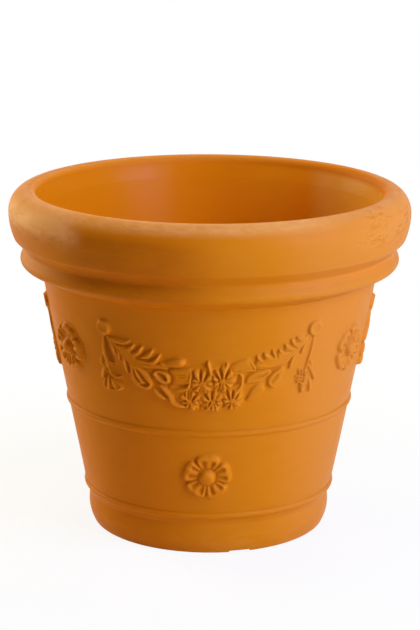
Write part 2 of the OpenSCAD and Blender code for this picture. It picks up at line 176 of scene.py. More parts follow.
def smooth_mesh(name, verts, faces):
    mesh = bpy.data.meshes.new(name)
    mesh.from_pydata(verts.tolist(), [], faces.tolist())
    mesh.update()
    mesh.shade_smooth()
    return mesh


def lathe(name, outline, material, replaced, notched=False):
    """A ring turned from a closed outline of (r, z) points in millimetres."""
    outline = densified([np.array(point) for point in outline])
    n = len(outline)
    r, z = outline.T
    a = np.arange(TURNS)[:, None] * 2 * math.pi / TURNS
    r = r + hand_waver(a, z) * np.clip(r / WAVER_FADE_R, 0, 1)
    if notched:
        z = np.maximum(z, notch_lift(r, a) * (z < RECESS_H / 2))
    verts = np.stack(np.broadcast_arrays(r * np.sin(a), -r * np.cos(a), z), -1).reshape(-1, 3) * MM
    i = np.arange(TURNS)[:, None]
    j = np.arange(n)[None]
    i2, j2 = (i + 1) % TURNS, (j + 1) % n
    faces = np.stack(np.broadcast_arrays(i * n + j, i2 * n + j, i2 * n + j2, i * n + j2), -1)
    mesh = smooth_mesh(name, verts, faces.reshape(-1, 4))
    mesh.set_sharp_from_angle(angle=math.radians(SHARP_ANGLE))
    mesh.materials.append(material)
    finish_piece(bpy.data.objects.new(name, mesh), replaced)


# Reliefs are height fields on the unrolled wall: x along the wall, y up from the knobs' height

def blurred(h, sigma):
    """h smoothed by a Gaussian of sigma grid steps."""
    reach = int(math.ceil(3 * sigma))
    kernel = np.exp(-0.5 * (np.arange(-reach, reach + 1) / sigma) ** 2)
    kernel /= kernel.sum()
    for axis in (0, 1):
        h = np.apply_along_axis(lambda row: np.convolve(np.pad(row, reach, "edge"), kernel, "valid"),
                                axis, h)
    return h


def filled(h, reach):
    """h with every hollow narrower than twice reach grid steps filled to its edges."""
    steps = range(-reach, reach + 1)
    disc = [(i, j) for i in steps for j in steps if i * i + j * j <= reach * reach]
    ny, nx = h.shape
    for pick in (np.maximum, np.minimum):
        wide = np.pad(h, reach, "edge")
        out = h.copy()
        for i, j in disc:
            pick(out, wide[reach + j:reach + j + ny, reach + i:reach + i + nx], out=out)
        h = out
    return h


def smooth_curve(points, closed=False):
    """Rows of x and y on a smooth curve through complex points."""
    p = [np.array([point.real, point.imag]) for point in points]
    if closed:
        p = [p[-1], *p, p[0], p[1]]
        steps = CLOSED_STEPS
    else:
        steps = max(3, OPEN_STEPS // (len(p) - 1))
        p = [2 * p[0] - p[1], *p, 2 * p[-1] - p[-2]]
    out = []
    for a, b, c, d in zip(p, p[1:], p[2:], p[3:]):
        out += [0.5 * (2 * b + (c - a) * t + (2 * a - 5 * b + 4 * c - d) * t * t
                       + (3 * b - a - 3 * c + d) * t ** 3)
                for t in np.linspace(0, 1, steps, endpoint=False)]
    return np.array([*out, p[-2]])


def nearest_on(curve, X, Y, reach):
    """The window of the grid within reach of the curve, and for each of its points the share of the curve's
    length where it comes nearest, the signed distance to the side, and the true distance."""
    (x0, y0), (x1, y1) = curve.min(0) - reach, curve.max(0) + reach
    window = slice(*np.searchsorted(Y[:, 0], (y0, y1))), slice(*np.searchsorted(X[0], (x0, x1)))
    X, Y = X[window], Y[window]
    seg = curve[1:] - curve[:-1]
    length = np.maximum(np.linalg.norm(seg, axis=1), 1e-9)
    start = np.concatenate([[0], np.cumsum(length)])
    best = np.full(X.shape, 1e9)
    share = np.zeros_like(X)
    side = np.zeros_like(X)
    for k in range(len(seg)):
        ux, uy = seg[k] / length[k]
        dx, dy = X - curve[k, 0], Y - curve[k, 1]
        along = np.clip(dx * ux + dy * uy, 0, length[k])
        ex, ey = dx - along * ux, dy - along * uy
        dist = np.hypot(ex, ey)
        closer = dist < best
        best = np.where(closer, dist, best)
        share = np.where(closer, (start[k] + along) / start[-1], share)
        side = np.where(closer, ux * ey - uy * ex, side)
    return window, share, side, best


def swell(t, belly, root, tip):
    """Share of the full width along a leaf, from root at its start to tip at its end."""
    t = np.clip(t, 0, 1)
    rise = np.sin(np.clip(t / belly, 0, 1) * math.pi / 2)
    fall = np.cos(np.clip((t - belly) / (1 - belly), 0, 1) * math.pi / 2)
    return np.where(t < belly, root + (1 - root) * rise, tip + (1 - tip) * fall)


def add_finger(h, X, Y, path, width, height, belly=0.6, root=0.4, tip=0.5, rise=0.55, full=0.75,
               lean=0.0):
    """A rounded finger or stem. rise is the share of its height at the root; less full is fuller.
    lean lowers it towards its left side, seen along the path."""
    s, t, side, dist = nearest_on(smooth_curve(path), X, Y, width)
    half = width / 2 * swell(t, belly, root, tip)
    q = np.clip(dist / half, 0, 1)
    crest = height * (rise + (1 - rise) * np.sin(np.clip(t / belly, 0, 1) * math.pi / 2))
    tilt = 1 - lean * np.clip(side / half, -1, 1)
    h[s] = np.maximum(h[s], crest * tilt * (1 - q ** 2) ** full)


def inside_of(curve, X, Y):
    """Which grid points lie inside the closed curve."""
    inside = np.zeros(X.shape, bool)
    for (x1, y1), (x2, y2) in zip(curve[:-1], curve[1:]):
        if y1 == y2:
            continue
        between = (y1 > Y) != (y2 > Y)
        inside ^= between & (X < (x2 - x1) * (Y - y1) / (y2 - y1) + x1)
    return inside


def add_mass(h, X, Y, outline, height, edge):
    """A filled leaf or ground, rounded over the width edge inside its outline."""
    curve = smooth_curve(outline, closed=True)
    s, _, _, dist = nearest_on(curve, X, Y, 1)
    q = 1 - np.clip(dist / edge, 0, 1)
    body = height * (1 - q ** 2) ** 0.5
    h[s] = np.maximum(h[s], np.where(inside_of(curve, X[s], Y[s]), body, 0))


def cut_groove(h, X, Y, path, width, depth, floor=0.6):
    """Presses a rounded hollow along the path, never deeper than the floor over the wall."""
    s, t, _, dist = nearest_on(smooth_curve(path), X, Y, width)
    q = np.clip(dist / (width / 2 * swell(t, 0.5, 0.5, 0.5)), 0, 1)
    h[s] = np.maximum(h[s] - depth * (1 - q ** 2) ** 1.5, np.minimum(h[s], floor))


def add_ball(h, X, Y, x, y, radius, height):
    q = np.clip(np.hypot(X - x, Y - y) / radius, 0, 1)
    np.maximum(h, height * (1 - q ** 2) ** 0.5, out=h)


def add_flower(h, X, Y, x, y, radius, height, turn, petals=9):
    """A daisy of long round petals, the upper ones longer; turn is the direction of its first gap."""
    uneven_share, uneven_step, upper_share, tip_round = 0.07, 2.4, 0.13, 0.22
    gap_depth, gap_start, cup, cup_end = 0.55, 0.3, 0.2, 0.4
    dx, dy = X - x, Y - y
    r = np.hypot(dx, dy)
    place = ((np.arctan2(dy, dx) - math.radians(turn)) * petals / (2 * math.pi)) % petals
    f = np.abs(place % 1 - 0.5) * 2
    uneven = 1 + uneven_share * np.sin(uneven_step * np.floor(place) + turn)
    tip = 1 - tip_round + tip_round * (1 - f ** 2) ** 0.5
    edge = radius * uneven * tip * (1 + upper_share * dy / radius)
    out = np.clip(r / edge, 0, 1)
    across = 1 - gap_depth * f ** 2.5 * np.clip(r / (gap_start * radius), 0, 1)
    dome = (1 - out ** 5) ** 0.5 * (1 - cup + cup * np.clip(r / (cup_end * radius), 0, 1))
    np.maximum(h, np.where(r < edge, height * uneven * across * dome, 0), out=h)


def on_wall(x, y, off, ref_z, base_z):
    """Places of a sprig's points, off millimetres out from the wall, in metres."""
    az = x / wall_r(ref_z)
    z = base_z + y
    r = wall_r(z) + hand_waver(az, z) + off * math.cos(WALL_LEAN)
    return np.stack([r * np.sin(az), -r * np.cos(az), z - off * math.sin(WALL_LEAN)], -1) * MM


def relief_mesh(name, h, X, Y, ref_z, base_z, web=None):
    """A closed clay sprig: the height field in front, and the same outline a little inside the wall.
    web is the outline of thin clay between two stems, over which a cast shadow is painted."""
    soft = blurred(h, SOFTENING)
    soft = soft + SLIP * blurred(h, SLIP_SPREAD) * np.exp(-soft / SLIP_FADE)
    keep = soft > THINNEST
    j, i = np.nonzero(keep[:-1, :-1] | keep[1:, :-1] | keep[:-1, 1:] | keep[1:, 1:])
    corners = [(j, i), (j, i + 1), (j + 1, i + 1), (j + 1, i)]
    used = np.zeros_like(keep)
    for corner in corners:
        used[corner] = True
    index = np.cumsum(used).reshape(used.shape) - 1
    x, y = X[used], Y[used]
    count = len(x)
    front_off = np.where(keep, soft, EDGE_OFF)[used]
    back_off = np.full(count, BACK_OFF)
    verts = np.vstack([on_wall(x, y, off, ref_z, base_z) for off in (front_off, back_off)])
    front = np.stack([index[corner] for corner in corners], -1)
    back = front[:, ::-1] + count
    # An edge that no neighbour uses the other way round lies on the sprig's outline
    edges = np.concatenate([front[:, [k, (k + 1) % 4]] for k in range(4)])
    rim = edges[~np.isin(edges @ (count, 1), edges @ (1, count))]
    walls = np.hstack([rim[:, ::-1], rim + count])
    mesh = smooth_mesh(name, verts, np.vstack([front, back, walls]))
    over = soft - blurred(h, CREST_SPREAD)
    roof = filled(soft, HOLLOW_REACH)
    # A painted cast shadow over the web
    if web:
        cover = np.zeros_like(h)
        add_mass(cover, X, Y, web, WEB_SHADOW, WEB_EDGE)
        roof = np.maximum(roof, cover)
    # The hollows' painted shade, with the web's painted shadow, and the crests' painted highlight
    for label, value in (("painted_shade", roof - soft - CREST_LESS * over), ("crest", over)):
        value = np.clip(value[used] / FULL_DEPTH, 0, 2)
        attribute = mesh.attributes.new(label, "FLOAT", "POINT")
        attribute.data.foreach_set("value", np.concatenate([value, np.zeros(count)]).astype(np.float32))
    return mesh


def grid(x0, x1, y0, y1):
    X, Y = np.meshgrid(np.arange(x0, x1, GRID), np.arange(y0, y1, GRID))
    return X, Y, np.zeros_like(X)


def drawn(box, masses, lobes, grooves, ridges, lean=0.0, cut=1.0, proud=1.0):
    """A height field of filled masses and rounded lobes, cut by grooves and topped by ridges."""
    X, Y, h = grid(*box)
    for outline, height, edge in masses:
        add_mass(h, X, Y, outline, height, edge)
    for path, width, height in lobes:
        add_finger(h, X, Y, path, width, height, full=0.5, lean=lean)
    for path, width, depth in grooves:
        cut_groove(h, X, Y, path, width, depth * cut)
    for path, width, height in ridges:
        add_finger(h, X, Y, path, width, height * proud)
    return h, X, Y


# Points are complex numbers, x + yj, in millimetres. A mass is its outline, height and edge's width, a lobe
# or ridge is its path, width and height, and a groove is its path, width and depth.

def left_branch():
    masses = [
        ([-126-12j, -112-15j, -100-20j, -88-26j, -76-31j, -64-34j, -54-37j, -50-44j, -70-46j, -88-44j,
          -100-39j, -110-28j], 3.2, 4),
        ([-126-13j, -113-22j, -108-30j, -109-42j, -115-46j, -121-40j, -127-22j], 0.5, 1),
        ([-98-40j, -88-42j, -80-46j, -73-51.5j, -68.5-58j, -67.5-65j, -70-71j, -75-73.5j, -82-72j,
          -89-68.5j, -94-63.5j, -96.5-56j, -96.5-48j], 5, 4.5),
        ([-68-50j, -62-46.5j, -54-47j, -48-49j, -45-54j, -45.5-60j, -49-63.5j, -56-64j, -62-60.5j,
          -66.5-55j], 5.4, 4),
        ([-47-45j, -36-43j, -28-41.5j, -20-41j, -19.5-50j, -21-57j, -25-62j, -34-64.5j, -43-63j, -44-54j],
         4.2, 7),
        ([-46-63j, -24-64j, -20-74j, -22-90j, -34-91j, -44-87j, -49-76j], 1.8, 3),
    ]
    lobes = [
        ([-122-13j, -110-15j, -102-15.5j, -95-13.5j], 8.5, 4.2),
        ([-101-26j, -95-22.5j, -89.5-18j], 9, 4.8),
        ([-94-30j, -86-27j, -79.5-20.5j], 9.5, 5.2),
        ([-84-32j, -74-29j, -66.5-23j], 10, 5.4),
        ([-78-37j, -66-35.5j, -58.5-28j], 9, 5.2),
        ([-62-63.5j, -56-68j, -50-74j, -45.5-79.5j, -43.5-86j, -37-89.5j, -29-91j], 8.2, 5.2),
        ([-68-71j, -61-78j, -53.5-82.5j], 7, 4.4),
    ]
    grooves = [
        ([-117-18j, -108-20j, -98-19.5j, -89-16j], 3.6, 3.4),
        ([-82-18.5j, -86-22j, -92-26.5j], 4, 4.4),
        ([-72-21.5j, -77-26j, -82-30.5j, -88-33.5j], 4.2, 4.8),
        ([-58-25.5j, -64-31j, -72-34.5j, -86-34j], 4, 4.6),
        ([-51-31j, -56-35.5j, -62-38.5j], 4, 4.4),
        ([-105-29.5j, -99.5-35j, -98-42j, -98-50j], 3.8, 4),
        ([-91.5-47j, -90.5-54j, -88.5-59.5j, -84.5-64.5j], 3.8, 3.6),
        ([-87-49j, -82-55.5j, -78.5-61j, -74-65j], 6.4, 4.6),
        ([-84-66.5j, -79-67.5j, -73-65.5j], 5.6, 4.4),
        ([-72-49j, -69-54j, -66-60j, -60-64j], 3, 4),
        ([-61-50.5j, -55.5-53.5j, -51.5-57j], 9, 5),
        ([-39-50.5j, -28-50.5j], 2.6, 1.6),
        ([-38-53.7j, -28-53.7j], 2.6, 1.6),
        ([-64-69j, -58-75j, -52-80.5j], 3.4, 4.4),
        ([-38-65j, -28-64j], 5, 2.5),
    ]
    ridges = [
        ([-124-12j, -112-22j, -103-30.5j, -98-37.5j, -88-41.5j, -75-42.5j, -62-41.5j, -50-43.5j], 6.5, 4.2),
        ([-126-12j, -120.5-18.5j, -118-25j, -116.5-33j], 4.6, 4.2),
        ([-113-25j, -110-32j, -110.5-40j], 4.2, 4.2),
        ([-109-28j, -104-36j, -102.5-46j, -100-55j], 5.2, 4.8),
        ([-98-40j, -95.5-49j, -95-57j, -91.5-64.5j, -85-69.8j, -77-72j], 4, 5.4),
        ([-58-37j, -51.5-40j], 5, 4.4),
        ([-43-71j, -34-70j, -27-68j, -23.5-63.5j, -22-57j], 6.4, 5.8),
        ([-21.5-43j, -21.3-50j, -23-56.5j, -27-60.5j], 5, 5.6),
        ([-42-78j, -37-82j, -31-83j], 4.5, 3.6),
    ]
    h, X, Y = drawn((-136, -14, -100, -5), masses, lobes, grooves, ridges, lean=0.4)
    # The broad leaf that ends the branch, over the rest
    add_finger(h, X, Y, [-54-37.5j, -45-36.5j, -33-35j], 12.8, 6.4, belly=0.95, root=0.45,
               tip=0.95, rise=0.3, full=0.55)
    return h, X, Y


def right_branch():
    masses = [
        ([120-9j, 106-13j, 97-17j, 86-23j, 74-28j, 62-31j, 54-34j, 54-44j, 66-46j, 80-45j, 92-42j, 100-36j,
          108-28j, 116-18j], 3.2, 4),
        ([24-40j, 29-35j, 36-32j, 45-30j, 49-34j, 53-41j, 54-45j, 44-47j, 36-49j, 28-51j, 24-46j], 3.6, 7),
        ([43-62j, 44-55j, 48-50j, 55-47.5j, 64-46j, 72-46j, 73-50j, 68-54.5j, 60-59.5j, 52-62.5j],
         3.4, 4.5),
        ([45.5-84j, 48-76j, 52-69j, 58-64.5j, 65-64.5j, 68.5-69j, 67.5-74j, 62-79.5j, 54-84j], 3.8, 6),
        ([70.5-58j, 74-52j, 80-47j, 87-43.5j, 91-46j, 91.5-54j, 89.5-61j, 86-67j, 80-71j, 74.5-70j,
          71-65j], 4, 5),
    ]
    lobes = [
        ([117-12j, 110-11.5j, 105-9.5j], 7.5, 3.4),
        ([107-20j, 101-15.5j, 97.5-11.5j], 7.5, 3.6),
        ([100-23j, 94-21j, 90-17j], 7.5, 3.8),
        ([95-28.5j, 88-27.5j, 83-23.5j], 7.5, 3.8),
        ([81-34j, 77-28j, 74.5-22.5j], 5.5, 3.8),
        ([77-35j, 70-31j, 65-26j], 9, 4),
        ([68-37j, 61-34j, 56.5-29j], 8, 4),
    ]
    grooves = [
        ([101.5-9j, 103-14.5j, 109-15.5j], 3.6, 3.4),
        ([93-12.5j, 96-17j, 101-21j, 105-23j], 4, 3.6),
        ([86-17j, 87-22j, 90-25.5j, 97-25.5j], 3.6, 3.4),
        ([77-23j, 79.5-28j, 81-32j], 3.4, 3.4),
        ([71.5-20j, 71.5-25j, 76-31j], 4, 3.8),
        ([57-25j, 60-29.5j, 64-33j], 4, 3.6),
        ([49.5-27j, 51.5-31j, 54-36j], 4.4, 3.8),
        ([106-28j, 99.5-33j, 97-40j, 94.5-48j], 3, 3.4),
        ([43-60j, 44-53j, 49-48j, 56-46j], 3.4, 2.6),
        ([49-58j, 56-55.5j, 63-53.5j, 69-50.5j], 5.4, 2.6),
        ([46-82j, 47.5-74j, 51.5-67.5j, 57-63.5j], 3.4, 3),
        ([54-78j, 61-74j], 3, 1.6),
        ([76-62.5j, 80-57.5j, 83.5-53j], 6.4, 3.2),
        ([86.5-50j, 87.2-57j], 3, 1.8),
        ([69.5-70j, 69.5-62j, 71-55.5j, 77-49.5j, 86-44.5j], 3.6, 3.4),
        ([26-47j, 31-46.5j, 36-45j], 3.2, 1.6),
    ]
    ridges = [
        ([125-6j, 117-11j, 111-18.5j, 105-26j, 96-33j, 88-38.5j, 78-41.5j, 66-41.5j, 57-39.5j], 6, 4.2),
        ([119-13j, 115.5-22j, 113-31j], 4.6, 3.2),
        ([108-27.5j, 101.5-36j, 98.5-47.5j], 5.2, 3.8),
        ([46.5-31.5j, 50-37j, 54-44j], 3.8, 4.6),
        ([29-50j, 36-47j, 46-45j, 54-46j], 4.2, 4.4),
        ([45-61j, 48-54j, 54-50.5j, 64-48.5j], 4.2, 4.2),
        ([44.5-61.5j, 52-60.5j, 60-58j, 67-54.5j, 74-50j], 3.6, 4.2),
        ([73-57j, 73-62.5j, 76.5-67.5j, 82-69j], 4.4, 4.8),
        ([73-57j, 78-52j, 85-47.5j], 4.2, 4.8),
    ]
    return drawn((14, 134, -100, -3), masses, lobes, grooves, ridges, cut=0.62)


def left_drop():
    masses = [
        ([-128-12j, -124-13j, -117-36j, -117-48j, -130-50j, -132-30j], 0.5, 1),
        ([-131-52j, -138-64j, -137-79j, -124-79j, -113-74j, -116-62j], 0.9, 3),
        ([-131-33j, -135-38j, -140-46j, -139.5-51j, -135-52j, -131-48j, -129.5-40j], 3.6, 3),
        ([-126-65j, -118-67j, -111.5-71j, -110-77j, -115-80j, -122-80.5j], 3.4, 3.5),
    ]
    grooves = [
        ([-133.5-40j, -134.5-48.5j], 4, 3),
        ([-131-55j, -132.5-60j, -135-65j], 3.6, 2.5),
        ([-120-70j, -115-75j], 2.6, 1.4),
        ([-128.5-70j, -126-77j], 3.4, 3),
    ]
    ridges = [
        ([-129.7-9j, -131.6-22j, -131.7-33j, -130.3-43j, -129.8-53j], 2.7, 4.8),
        ([-131-30j, -136-39j, -139.8-49j], 3.2, 4.8),
        ([-129.5-42j, -125-45j, -119-46.5j], 3, 2.6),
        ([-133-50j, -137-58j, -138.5-67j], 5, 5.2),
        ([-129.5-52j, -125.5-59.5j, -118-63j, -111.5-62j], 3.6, 4.4),
        ([-133-64j, -137-72j, -137.5-80j], 4, 5.2),
        ([-130-62j, -130.5-71j, -132-81j], 3.6, 5.6),
        ([-127-64j, -123.5-72j, -120.5-79j], 3.2, 4.8),
        ([-133-80j, -126-82j], 3.4, 3.4),
        ([-121.5-79j, -117-79j, -112-76.5j], 3.4, 4.6),
    ]
    return drawn((-148, -104, -92, -3), masses, [], grooves, ridges, proud=1.25)


def right_drop():
    masses = [
        ([122-50j, 117-57j, 111-60j, 111-67j, 117-72j, 119-81j, 125-81j, 131-72j, 130-60j], 1.6, 3),
    ]
    lobes = [
        ([122.5-50j, 123.5-60j, 124-69j], 8, 4),
        ([122.5-64j, 120.5-73j, 120.5-81j], 8.5, 4.6),
    ]
    grooves = [
        ([119-50j, 120-58j, 117-62.5j], 3, 2.6),
        ([124.5-66j, 126-67.5j], 3.6, 3),
        ([116-69j, 121-68j], 3, 3),
        ([122.5-55j, 124.5-61j], 2, 1.4),
    ]
    ridges = [
        ([129-10j, 128-24j, 126.5-34j, 124.5-43j, 122.5-52j], 4.4, 3.4),
        ([126-38j, 130-45j, 132-51j], 4.6, 2.4),
        ([124.5-46j, 133-57j, 139.5-68j], 6, 3.2),
        ([121-57j, 115-61j, 109-60j], 4, 2.6),
        ([121-62j, 115-66j, 110-65j], 4, 2.6),
        ([127-60j, 132-72j, 133.5-82.5j], 5.4, 4),
    ]
    h, X, Y = drawn((102, 148, -92, -3), masses, lobes, grooves, ridges)
    # Berries pressed on in slanting rows, every second row moved on and every second berry higher
    rows, in_row, radius, height, higher = 5, 4, 1.9, 4.4, 0.5
    first_x, first_y, across, down, slant, moved = 113, -52.5, 4.1, 3.8, 1.3, 0.7
    for row in range(rows):
        for place in range(in_row):
            x = first_x + across * place + moved * (row % 2)
            y = first_y - down * row - slant * place
            add_ball(h, X, Y, x, y, radius, height + higher * ((row + place) % 2))
    return h, X, Y


def flower_cluster():
    """Five daisies pressed side by side, each a dome with gaps between its petals."""
    ground = [-26-42j, -10-38j, 14-37j, 30-40j, 39-51j, 40-70j, 42-84j, 36-92j, 12-96.5j, -14-96.5j,
              -31-89j, -32-74j, -24-60j]
    # Each daisy is its middle, radius, height and turn
    daisies = [
        (-22, -84, 13.5, 6, 13),
        (4, -84.5, 14, 6.2, 14),
        (27.5, -83, 14, 6, 5),
        (-9, -59.5, 16, 6.8, 16),
        (16, -56.5, 16.5, 7, 24),
    ]
    # Petals that reach further
    petals = [
        ([3-56j, 1.5-44j, -1-34j], 6.2, 6.6),
        ([17.3-54j, 18-45j, 20.8-36j], 5.6, 6.2),
        ([24-54j, 25.5-45j], 6, 6),
        ([30-47.5j, 37-49.5j, 39-56j, 37.5-65j, 31-73j], 5.6, 5.6),
        ([27-82j, 33-87j, 37-88.5j], 8, 6),
        ([-21-84j, -18.5-94j], 9, 6),
        ([7-84j, 10-95.5j], 7, 6),
        ([-8-58j, -5-65j, -4.5-71j], 6.5, 6.6),
        ([15-59j, 16.5-65j, 16-70j], 6, 6.4),
        ([8-62j, 7.5-72j, 7-81j], 5.6, 5.6),
        ([0.5-70j, 0.7-77j, 1.5-82j], 4.6, 5.8),
        ([-28-72j, -27.2-78j, -25.5-84j], 3.6, 5.6),
        ([-9.5-94j, -5-95j, 1-94.3j], 3.4, 4.8),
    ]
    gaps = [
        # Upper left
        ([-19-45.5j, -18.3-51j, -20-56j], 5, 4.8),
        ([-9.5-42.5j, -10-50j, -10-57j], 3.8, 5.2),
        ([-2-45j, -3.5-51j, -5.5-56.5j], 3.4, 4.6),
        ([-13.5-59j, -10.5-58.7j], 2.8, 3),
        ([-21.5-60j, -20.5-67j], 3.8, 4.4),
        ([-17-71j, -14.5-74j], 4, 4.4),
        ([-8.7-65.5j, -8-71j], 2.8, 3.4),
        ([-2.8-59j, -1.8-61j], 2.8, 2.8),
        # Upper right
        ([5-44j, 8.5-48.5j, 11-54j, 11.5-58.5j], 4.2, 4.8),
        ([12.3-42j, 14.5-47j, 15-53.5j], 3.4, 4.8),
        ([25.5-37j, 22.5-43j, 20-49j, 18.8-54j], 3.8, 5.2),
        ([26.5-46j, 30.5-46j], 2.8, 2.8),
        ([34.5-50j, 33.8-55j, 32.8-60j, 29.5-63j, 25.5-65j], 5, 4.8),
        ([3.3-50j, 4.6-58j, 5-65j], 3.6, 3.4),
        ([12.8-60j, 11.6-66j, 10-71j], 3.2, 4.4),
        ([20-66j, 22-73j, 24-81.5j], 4.2, 5.2),
        # Lower left
        ([-25-71.5j, -25.2-77j, -24.5-80.5j], 3, 4.4),
        ([-16-75.5j, -19.5-80j, -20.7-84j], 3.2, 4.6),
        ([-29-81.5j, -28-84.5j], 3.2, 4),
        ([-30.5-88j, -27.5-89.2j], 2.8, 3.2),
        ([-23.7-88.5j, -22.5-92.8j], 2.6, 3.4),
        ([-13.5-83j, -11-88j, -11.5-93.5j], 5, 3.4),
        # Lower middle
        ([3.5-70.5j, 3.6-75j, 3.2-81j], 3.2, 4.8),
        ([-6.5-73.5j, -3.5-77j, -1.3-80.5j], 3.2, 4.2),
        ([1.7-83j, 0.5-86j, -0.7-90j], 3.2, 4.4),
        ([7.6-82j, 8.4-84j], 3.4, 4.2),
        ([9.4-87.2j, 9.9-88.8j], 2.8, 3.2),
        ([-9-84.5j, -3-85.8j], 3, 2.4),
        ([-9.5-91j, -4.5-91.8j, 0.5-91j], 2.6, 3.2),
        ([14.5-80j, 17.5-86j, 16.5-92j], 5, 3.4),
        # Lower right
        ([28.4-69.5j, 28.2-75j, 28-80j], 2.8, 4.2),
        ([36.3-72.5j, 33.5-77j, 31.2-80.5j], 2.8, 4.2),
        ([20-86.2j, 25.5-85j], 3.2, 3.8),
        ([25-88.7j, 23-92.5j], 3.2, 4.2),
        ([28.5-87.3j, 32-90j, 35.5-91.3j], 2.6, 3.4),
    ]
    gap_width, gap_depth = 0.9, 0.72
    X, Y, h = grid(-40, 50, -104, -28)
    add_mass(h, X, Y, ground, 3, 6)
    for daisy in daisies:
        add_flower(h, X, Y, *daisy)
    for path, width, height in petals:
        add_finger(h, X, Y, path, width, height)
    for path, width, depth in gaps:
        cut_groove(h, X, Y, path, width * gap_width, depth * gap_depth)
    return h, X, Y


def knob():
    """A round button with a hollowed face and a short stem under it."""
    middle_down, oval, inset, edge_fall, face_share, face_depth = 1, 0.97, 0.4, 6, 0.72, 0.38
    X, Y, h = grid(-15, 15, -17, 15)
    r = np.hypot(X, (Y + middle_down) * oval)
    q = np.clip(r / (KNOB_R - inset), 0, 1)
    face = np.clip(r / (KNOB_R * face_share), 0, 1)
    h[:] = KNOB_T * (1 - q ** edge_fall) ** 0.6 * (1 - face_depth + face_depth * face ** 3)
    add_finger(h, X, Y, [0-5j, 0-12j], 6.0, 3.6, belly=0.2, root=0.9, tip=0.3)
    return h, X, Y


def rosette(turn):
    """Five petals with raised rims and two hollows each, round a domed boss."""
    wider, low_share, rise_end, cut_in, nick_depth, nick_w = 1.03, 0.42, 0.8, 0.24, 0.02, 5
    # Depths are shares of the height. The hollows and gaps lie between shares of the radius.
    hollow_depth, hollow_at, hollow_w, hollow_from, hollow_to, hollow_soft = 0.68, 16, 7.5, 0.36, 0.86, 0.14
    gap_depth, gap_w, gap_from, gap_soft = 0.80, 4.2, 0.3, 0.2
    moat_depth, moat_out, moat_w, vein_rise, vein_w = 0.55, 1.4, 1.5, 0.05, 1.5
    X, Y, h = grid(-33, 33, -33, 33)
    r = np.hypot(X, Y)
    half_petal = 180 / PETALS
    d = (np.degrees(np.arctan2(Y, X)) - turn + half_petal) % (2 * half_petal) - half_petal
    f = np.abs(d) / half_petal
    nick = nick_depth * np.exp(-(d / nick_w) ** 2)
    edge = wider * ROSETTE_R * (1 - cut_in * np.clip(f, 0, 1) ** 6 - nick)
    out = np.clip(r / edge, 0, 1)
    rise = np.clip((r - BOSS_R) / (edge * rise_end - BOSS_R), 0, 1)
    body = PETAL_T * (low_share + (1 - low_share) * rise) * (1 - out ** 9) ** 0.5
    share = r / ROSETTE_R
    starts = np.clip((share - hollow_from) / hollow_soft, 0, 1)
    along = starts * np.clip((hollow_to - share) / hollow_soft, 0, 1)
    hollow = along * np.exp(-((np.abs(d) - hollow_at) / hollow_w) ** 2)
    gap = np.clip((share - gap_from) / gap_soft, 0, 1) * np.exp(-((half_petal - np.abs(d)) / gap_w) ** 2)
    body = body * (1 - hollow_depth * hollow) * (1 - gap_depth * gap)
    h[:] = np.where(r < edge, np.maximum(body, 0), 0)
    lateral = np.abs(r * np.sin(np.radians(d)))
    h *= 1 + vein_rise * np.exp(-(lateral / vein_w) ** 2) * along
    h *= 1 - moat_depth * np.exp(-((r - BOSS_R - moat_out) / moat_w) ** 2)
    q = np.clip(r / BOSS_R, 0, 1)
    np.maximum(h, BOSS_T * (1 - q ** 2.6) ** 0.5, out=h)
    return h, X, Y


# Materials

CLAY, CLAY_DEEP, CLAY_PALE = (0.620, 0.184, 0.003), (0.570, 0.158, 0.002), (0.650, 0.206, 0.009)
# The soot colour is a real smudge on the rim and the painted shade in the sprigs' hollows; the rubbed
# colour is the sprigs' painted crest highlight
CLAY_INSIDE, CLAY_CREST_HIGHLIGHT, SOOT_AND_SHADE = (0.700, 0.202, 0.002), (0.780, 0.300, 0.022), (0.200, 0.046, 0.002)
# Pale rubbed clay, which also paints the rim's highlights
RIM_WEAR_AND_HIGHLIGHT = (0.800, 0.362, 0.076)
# How much of the deep clay shows in the clouds and the specks
CLOUDED, SPECKLED = 0.35, 0.10
SPECULAR, INSIDE_GLOSS = 0.035, 0.22
BUMP_STRENGTH, BUMP_DISTANCE, DRAG_HEIGHT = 0.10, 0.0006, 2.0
# How far patches and scuffs are drawn out along the wall
STRETCH, SCUFF_STRETCH = 3.0, 4.5

# Textures: a noise's scale, detail, roughness and distortion, and the ramp that it goes through
CLOUDS = (7.0, 3, 0.5), (0.35, 0.65)
PATCHES = (26.0, 4, 0.55, 0.6), (0.38, 0.64)
SPECKS = (700.0, 3, 0.6), (0.3, 0.7)
SHEEN = (40.0, 3, 0.5), (0.3, 0.7, 0.40, 0.50)
STREAKS = (16.0, 6, 0.7, 0.3), (0.30, 0.62, 0.55, 1.0)
RUBBING = (55.0, 5, 0.7, 0.4), (0.30, 0.70, 0.55, 1.0)
SMEARS = (22.0, 6, 0.62, 0.3), (0.32, 0.58, 0.45, 1.0)
MOTTLE = (75.0, 8, 0.75), (0.49, 0.62)
DASHES = (62.0, 5, 0.72), (0.47, 0.58)
ISLANDS = (13.0, 2, 0.5), (0.36, 0.54)
PAVING = (3.0, 2, 0.5), (0.3, 0.7)
PITS, DRAG = (900.0, 2, 0.6), (120.0, 3, 0.5)

# Stains: a tint, how much of it shows at most, and where it fades in. Each limit is an axis or the radius,
# the millimetres where there is none and where it is full, and the two shares where they aren't 0 and 1.
# Painted shade: the shaded front left, deeper and redder
PAINTED_SHADE_LEFT = (0.600, 0.148, 0.001), 0.55, [("x", -140, -80), ("x", 50, -50)]
# Painted light: the lit right side, paler
PAINTED_LIGHT_RIGHT = (0.630, 0.212, 0.026), 0.55, [("x", 60, 150)]
